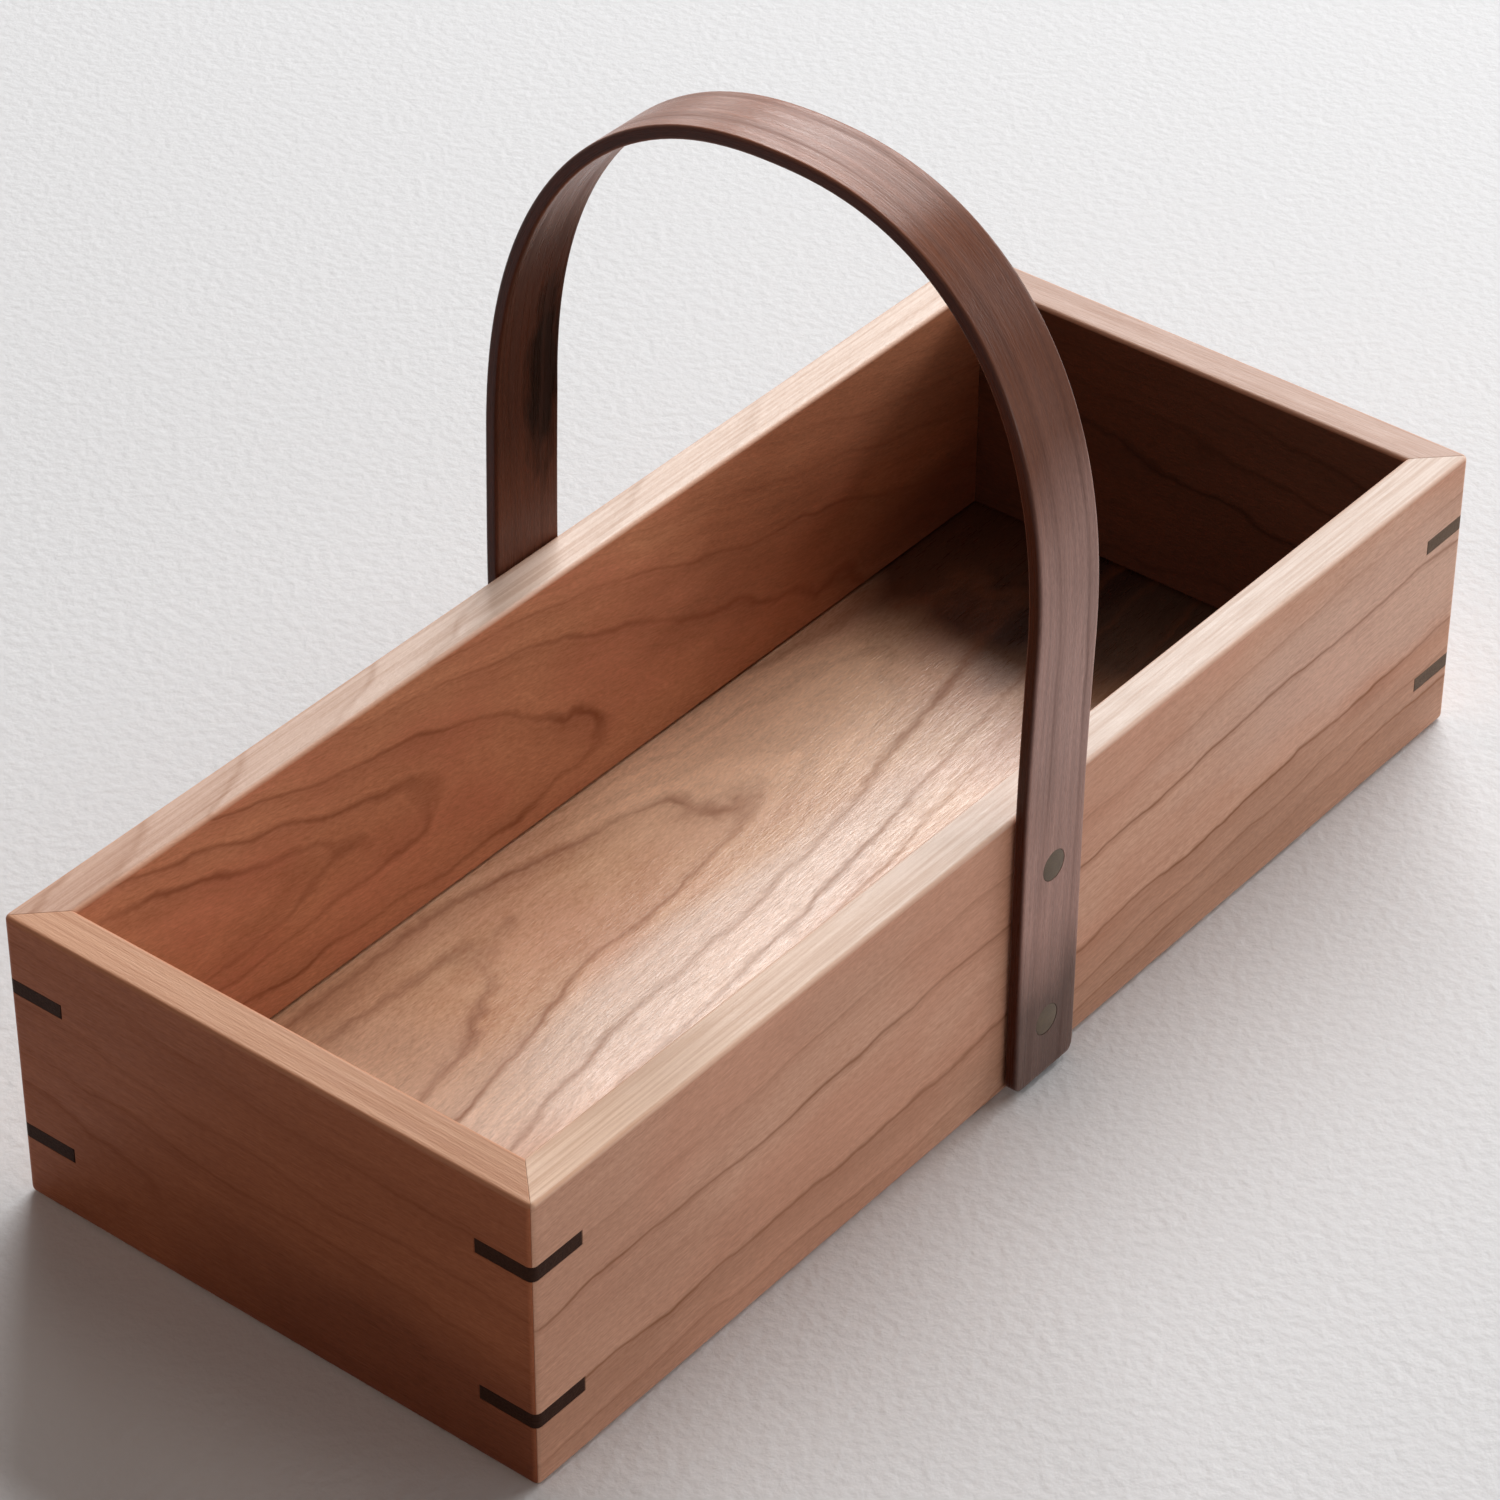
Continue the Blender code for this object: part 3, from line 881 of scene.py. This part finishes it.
handle = bent_strip("bent_strip")
strip_wood = timber(
    "strip_walnut",
    turn=(0.0, 0.0, 0.6),
    heart=(22.0, -18.0),
    rings=[(19.0, 0.3, 1.5), (24.0, 0.5, 2.0), (30.0, 0.4, 2.0), (36.0, 0.4, 2.0)],
    pale=(0.17, 0.06, 0.032),
    deep=(0.1, 0.031, 0.016),
    line=(0.05, 0.018, 0.011),
    sways=((0.12, 20.0, 1.2), (0.3, 6.0, 0.25)),
    place="strip_place",
    gloss=0.27,
    figure=0.9,
    streaky=0.8,
    shine=0.16,
    rub_and_highlight=0.0,
    fuzzy=0.4,
    # The darker narrow sides are painted shade, on both sides alike
    narrow=(0.075, 0.017, 0.008),
    painted_light_and_shade=STRIP_PAINTED_LIGHT_AND_SHADE,
)
dress(handle, strip_wood, "walnut", "handle")

# The pegs are four short round dowels of a dark dense wood, two through each leg and into the wall
# behind it, trimmed flush with the strip. They show their end grain.

PEG_SEAM = 0.00004
PEG_EASE = 0.0002
PEG_SIDES = 64
PEG_DEEP = (0.072, 0.046, 0.028)
PEG_PALE = (0.145, 0.102, 0.064)


def dowel(name, node, grow):
    """A turned rod along Y: its half section carried round a circle, in the place of a CAD peg."""
    low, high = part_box(node)
    side = 1 if low.y > 0 else -1
    inner, outer = sorted((abs(low.y), abs(high.y)))
    radius = (high.x - low.x) / 2 + grow
    middle = (low.z + high.z) / 2
    start, end = (inner - PEG_SEAM, outer + CUT_PAST) if grow else (inner, outer)
    steps = np.array([0, 0.3, 0.7, 1])
    round_off = PEG_EASE * (1 - np.sqrt(1 - (1 - steps) ** 2)) if not grow else 0 * steps
    radii = np.concatenate([radius - round_off, radius - round_off[::-1]])
    places = np.concatenate([start + PEG_EASE * steps, end - PEG_EASE * steps[::-1]])
    turn = np.linspace(0, 2 * np.pi, PEG_SIDES, endpoint=False)
    x = radii[:, None] * np.cos(turn)
    z = middle + radii[:, None] * np.sin(turn)
    y = np.broadcast_to(side * places[:, None], x.shape)
    return skin(name, np.stack([x, y, z], axis=2))


def peg_material():
    """Dark end grain: fine pores on a slowly changing olive brown."""
    material = bpy.data.materials.new("peg_wood")
    material.use_nodes = True
    tree = material.node_tree
    shader = tree.nodes["Principled BSDF"]
    source = add_node(tree, "ShaderNodeTexCoord", {}).outputs["Object"]
    place = vector_sum(tree, "MULTIPLY", source, TO_MM)
    pores = noise(tree, place, 1.0, 0.25, 2.0).outputs["Fac"]
    patch = noise(tree, place, 1.0, 3.0, 1.0).outputs["Fac"]
    tone = number_sum(tree, "MULTIPLY", rescaled(tree, pores, 0.35, 0.65), 0.6)
    tone = number_sum(tree, "MULTIPLY_ADD", rescaled(tree, patch, 0.3, 0.7), 0.4, tone)
    colour = blended(tree, tone, shade(PEG_DEEP), shade(PEG_PALE))
    tree.links.new(colour, shader.inputs["Base Color"])
    tree.links.new(rescaled(tree, pores, 0.3, 0.7, 0.55, 0.7), shader.inputs["Roughness"])
    bump = add_node(tree, "ShaderNodeBump", {"Strength": 0.4, "Distance": 0.00008, "Height": pores})
    tree.links.new(bump.outputs["Normal"], shader.inputs["Normal"])
    return material


peg_wood = peg_material()
peg_holes = {"front": [], "back": []}
for face in peg_holes:
    for level in ("lower", "upper"):
        node = f"peg_{face}_{level}"
        peg = dowel(f"dowel_{face}_{level}", node, 0)
        dress(peg, peg_wood, "peg_wood", node)
        peg_holes[face].append(dowel(f"hole_{face}_{level}", node, PEG_SEAM))

# Fitting: the saw cuts for the keys and the holes for the pegs are taken out of the walls and the
# strip. Only then is it known where each vertex stands, for the paler rounded edges and rim top,
# partly painted highlight, for the inner faces, painted shade on the right wall, for the narrow
# sides' painted shade, and for the bent grain.

for side, wall in walls.items():
    cut_away(wall, key_cuts[side] + peg_holes.get(side, []))
    x, y, z = np.abs(vertices(wall)).T
    if side in ("front", "back"):
        outer, inner = HALF_WIDTH - y, y - (HALF_WIDTH - WALL)
    else:
        outer, inner = HALF_LENGTH - x, x - (HALF_LENGTH - WALL)
    top = RIM_HEIGHT - z
    outer_rim = edge_between(outer, top, RIM_ROUND)
    inner_rim = edge_between(inner.clip(0), top, RIM_ROUND)
    corner = edge_between(HALF_LENGTH - x, HALF_WIDTH - y, CORNER_ROUND)
    # Paler rounded edges, partly rubbing and partly painted highlight, the rim's top, paler partly as
    # painted highlight, and the inner face, painted shade on the right wall
    store(wall, "edge_rub_and_highlight", np.maximum(np.maximum(outer_rim, inner_rim), corner))
    store(wall, "rim_top", 1 - top / RIM_ROUND)
    store(wall, "inner_face", 1 - inner / RIM_ROUND)

cut_away(handle, peg_holes["front"] + peg_holes["back"])
lay_grain(handle)

cutters = key_cuts["left"] + key_cuts["right"] + peg_holes["front"] + peg_holes["back"]
for cutter in cutters:
    bpy.data.objects.remove(cutter)

# The table is a plain pale plastered top, not part of the object. Its colour deepens a little away
# from the box, where it lies nearer to the window, so that it looks evenly pale.

TABLE_HALF = 1.2
TABLE_COLOUR = (0.695, 0.705, 0.72, 1.0)
FAR_TABLE_COLOUR = (0.5, 0.495, 0.49, 1.0)
FAR_FROM = 0.4
FAR_TO = 1.4


def table_material():
    """Fine grit on a pale colour, which goes over to the far colour with the distance from the box."""
    material = bpy.data.materials.new("pale_table")
    material.use_nodes = True
    tree = material.node_tree
    shader = tree.nodes["Principled BSDF"]
    shader.inputs["Roughness"].default_value = 0.75
    source = add_node(tree, "ShaderNodeTexCoord", {}).outputs["Object"]
    away = rescaled(tree, vector_sum(tree, "LENGTH", source), FAR_FROM, FAR_TO)
    tree.links.new(blended(tree, away, TABLE_COLOUR, FAR_TABLE_COLOUR), shader.inputs["Base Color"])
    grit = add_node(tree, "ShaderNodeTexNoise", {"Vector": source, "Scale": 400.0, "Detail": 4.0})
    sockets = {"Strength": 0.38, "Distance": 0.0008, "Height": grit.outputs["Fac"]}
    bump = add_node(tree, "ShaderNodeBump", sockets)
    tree.links.new(bump.outputs["Normal"], shader.inputs["Normal"])
    return material


corners = TABLE_HALF * np.array([(-1, -1, 0), (1, -1, 0), (1, 1, 0), (-1, 1, 0)])
table_mesh = bpy.data.meshes.new("table_top")
table_mesh.from_pydata(corners, [], [(0, 1, 2, 3)])
table_mesh.materials.append(table_material())
table = bpy.data.objects.new("table_top", table_mesh)
bpy.context.scene.collection.objects.link(table)

# The light is one large soft window high on the right, a little behind the box. Five weaker lamps
# stand for what the window's wall, the curtain, the ceiling and the room throw back. The camera
# stands as it did for the photograph.

WINDOW_AT = Vector((2.32, 1.05, 2.27))
WINDOW_WIDE = 2.66
WINDOW_TALL = 1.51
WINDOW_WATTS = 160.0
WINDOW_WALL_AT = Vector((1.656, -0.6, 0.765))
WINDOW_WALL_WIDE = 1.2
WINDOW_WALL_TALL = 0.63
WINDOW_WALL_WATTS = 19.0
CURTAIN_AT = Vector((1.656, 2.05, 0.8))
CURTAIN_WIDE = 0.7
CURTAIN_TALL = 1.0
CURTAIN_WATTS = 5.6
CEILING_AT = Vector((0.6, 0.15, 2.1))
CEILING_WIDE = 1.4
CEILING_TALL = 0.8
CEILING_WATTS = 3.6
CEILING_COLOUR = (1.0, 0.86, 0.76)
FRONT_AT = Vector((0.35, -1.58, 0.3))
FRONT_WIDE = 1.3
FRONT_TALL = 0.4
FRONT_WATTS = 5.6
LEFT_AT = Vector((-1.2, 0.0, 1.2))
LEFT_WIDE = 1.2
LEFT_TALL = 0.6
LEFT_WATTS = 3.4
LEFT_COLOUR = (1.0, 0.74, 0.6)
ROOM_LEVEL = 0.02
ROOM_COLOUR = (1.0, 0.985, 0.98, 1.0)
SEEN_LEVEL = 0.8
WHITE = (1.0, 1.0, 1.0)


def lamp(name, wide, tall, watts, at, colour=WHITE):
    """A soft oblong lamp that faces the box."""
    light = bpy.data.lights.new(name, "AREA")
    light.shape = "RECTANGLE"
    light.size = wide
    light.size_y = tall
    light.energy = watts
    light.color = colour
    lamp_object = bpy.data.objects.new(name, light)
    lamp_object.location = at
    lamp_object.rotation_euler = at.to_track_quat("Z", "Y").to_euler()
    bpy.context.scene.collection.objects.link(lamp_object)
    return lamp_object


def wall_lamp(name, wide, tall, watts, at):
    """A lamp on the room's right wall: it faces along -X, and its first side is the upright one."""
    lamp(name, tall, wide, watts, at).rotation_euler = (0.0, math.radians(90), 0.0)


wall_lamp("window", WINDOW_WIDE, WINDOW_TALL, WINDOW_WATTS, WINDOW_AT)
wall_lamp(
    "room_by_the_window", WINDOW_WALL_WIDE, WINDOW_WALL_TALL, WINDOW_WALL_WATTS, WINDOW_WALL_AT
)
lamp("curtain", CURTAIN_WIDE, CURTAIN_TALL, CURTAIN_WATTS, CURTAIN_AT)
lamp("ceiling", CEILING_WIDE, CEILING_TALL, CEILING_WATTS, CEILING_AT, CEILING_COLOUR)
lamp("room_in_front", FRONT_WIDE, FRONT_TALL, FRONT_WATTS, FRONT_AT)
lamp("room_on_the_left", LEFT_WIDE, LEFT_TALL, LEFT_WATTS, LEFT_AT, LEFT_COLOUR)

world = bpy.data.worlds.new("pale_room")
bpy.context.scene.world = world
world.use_nodes = True
room = world.node_tree
room_light = room.nodes["Background"]
room_light.inputs["Color"].default_value = ROOM_COLOUR
room_light.inputs["Strength"].default_value = ROOM_LEVEL

# The camera, glass and gloss see the room pale. All other rays get only its weak light.
seen = add_node(room, "ShaderNodeBackground", {"Color": ROOM_COLOUR, "Strength": SEEN_LEVEL})
path = add_node(room, "ShaderNodeLightPath", {})
looked_at = 0.0
for ray in ("Is Camera Ray", "Is Transmission Ray", "Is Glossy Ray"):
    looked_at = number_sum(room, "MAXIMUM", path.outputs[ray], looked_at)
sockets = {0: looked_at, 1: room_light.outputs["Background"], 2: seen.outputs["Background"]}
either = add_node(room, "ShaderNodeMixShader", sockets)
room.links.new(either.outputs["Shader"], room.nodes["World Output"].inputs["Surface"])

# The camera was fitted to the straight edges of the box in the photograph
CAMERA_AT = (-0.62819, -0.49322, 0.6492)
CAMERA_TURN = (52.9144, -0.2314, -51.32)
LENS_MM = 129.68
SENSOR_MM = 36.0

camera_data = bpy.data.cameras.new("camera")
camera_data.lens = LENS_MM
camera_data.sensor_width = SENSOR_MM
camera = bpy.data.objects.new("camera", camera_data)
camera.location = CAMERA_AT
camera.rotation_euler = [math.radians(degrees) for degrees in CAMERA_TURN]
bpy.context.scene.collection.objects.link(camera)
bpy.context.scene.camera = camera
bpy.context.scene.view_settings.view_transform = "Standard"
